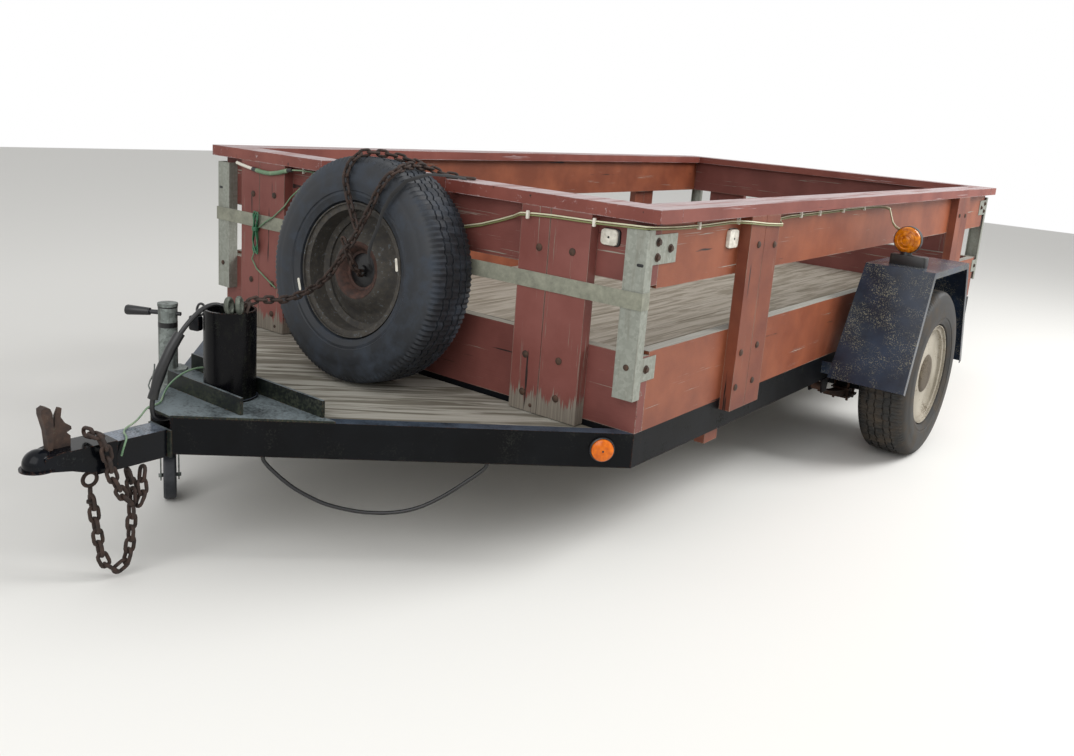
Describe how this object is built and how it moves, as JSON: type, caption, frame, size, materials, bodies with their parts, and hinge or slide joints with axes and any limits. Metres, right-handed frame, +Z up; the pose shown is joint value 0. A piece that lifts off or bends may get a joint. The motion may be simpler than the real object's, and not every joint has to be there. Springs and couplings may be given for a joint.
{
  "type": "utility trailer",
  "caption": "Slat-sided timber utility trailer on a steel frame with a tongue coupler, drop axle, leaf springs, fenders, a leaning spare wheel, a tongue jack and a lift-out gate",
  "frame": {"origin": "on the ground, midway between the coupler's nose and the gate cap's rear edge, on the middle line", "axes": "X to the trailer's left, Y to the rear (the coupler points to -Y), Z up"},
  "size_m": [2.584, 4.923, 1.1071],
  "materials": {
    "amber_lens": "amber lens",
    "barn_red": "red-brown barn paint on timber, weathered",
    "cable_black": "black cable sheath",
    "caster_tread": "hard dark caster wheel",
    "chain_steel": "dull steel chain",
    "coupler_black": "pressed steel, black",
    "fender_black": "blue-black paint, dusty",
    "frame_black": "chassis black, chipped and rusty at edges",
    "galvanised": "dull galvanised steel",
    "grey_plank": "bare weathered grey planks",
    "grip_black": "black grip",
    "hub_tan": "dull tan painted hub",
    "plate_moss": "grey-green weathered steel plate",
    "red_lens": "red lens",
    "rim_rusty": "rusty brown rim",
    "rim_white": "chalky white enamel",
    "rusty_steel": "bare steel gone brown with rust",
    "tyre_rubber": "dusty black tyre",
    "webbing": "flat grey-green webbing",
    "wire_green": "thin insulated wires"
  },
  "bodies": {
    "trailer": {"amber_lamps": "amber_lens", "apex_plate": "plate_moss", "axle": "frame_black", "cap_wire": "wire_green", "corner_irons": "galvanised", "coupler": "coupler_black", "coupler_latch": "rusty_steel", "crossmembers": "frame_black", "end_rails": "frame_black", "fenders": "fender_black", "flat_wire": "wire_green", "floor_planks": "grey_plank", "frame_cable": "cable_black", "head_boards": "barn_red", "head_posts": "barn_red", "head_strap": "webbing", "jack_crank": "grip_black", "jack_tube": "galvanised", "leaf_springs": "rusty_steel", "rim_spare": "rim_rusty", "safety_chains": "chain_steel", "side_boards": "barn_red", "side_posts": "barn_red", "side_rails": "frame_black", "socket_post": "frame_black", "spring_plates": "rusty_steel", "tail_lamps": "red_lens", "tongue_planks": "grey_plank", "tongue_rails": "frame_black", "tongue_tube": "frame_black", "top_caps": "barn_red", "trailer_cable": "cable_black", "tyre_spare": "tyre_rubber"},
    "wheel_left": {"tyre_left": "tyre_rubber", "rim_left": "rim_white", "hub_left": "hub_tan"},
    "wheel_right": {"tyre_right": "tyre_rubber", "rim_right": "rim_white", "hub_right": "hub_tan"},
    "gate": {"gate_boards": "barn_red", "gate_posts": "barn_red", "gate_cap": "barn_red"},
    "jack_leg": {"jack_leg": "galvanised"},
    "caster_fork": {"caster_fork": "galvanised"},
    "caster_wheel": {"caster_wheel": "caster_tread"}
  },
  "joints": [
    {"name": "wheel_left_spin", "type": "hinge", "parent": "trailer", "child": "wheel_left", "pos_m": [1.185, 0.552, 0.35], "axis": [1, 0, 0], "continuous": true},
    {"name": "wheel_right_spin", "type": "hinge", "parent": "trailer", "child": "wheel_right", "pos_m": [-1.185, 0.552, 0.35], "axis": [1, 0, 0], "continuous": true},
    {"name": "gate_lift", "type": "slide", "parent": "trailer", "child": "gate", "axis": [0, 0, 1], "range_m": [0, 0.17]},
    {"name": "jack_slide", "type": "slide", "parent": "trailer", "child": "jack_leg", "axis": [0, 0, 1], "range_m": [-0.1, 0.14]},
    {"name": "caster_swivel", "type": "hinge", "parent": "jack_leg", "child": "caster_fork", "pos_m": [-0.33243, -1.8693, 0.166], "axis": [0, 0, 1], "continuous": true},
    {"name": "caster_roll", "type": "hinge", "parent": "caster_fork", "child": "caster_wheel", "pos_m": [-0.35124, -1.8579, 0.075], "axis": [-0.518, -0.8554, 0], "continuous": true}
  ]
}
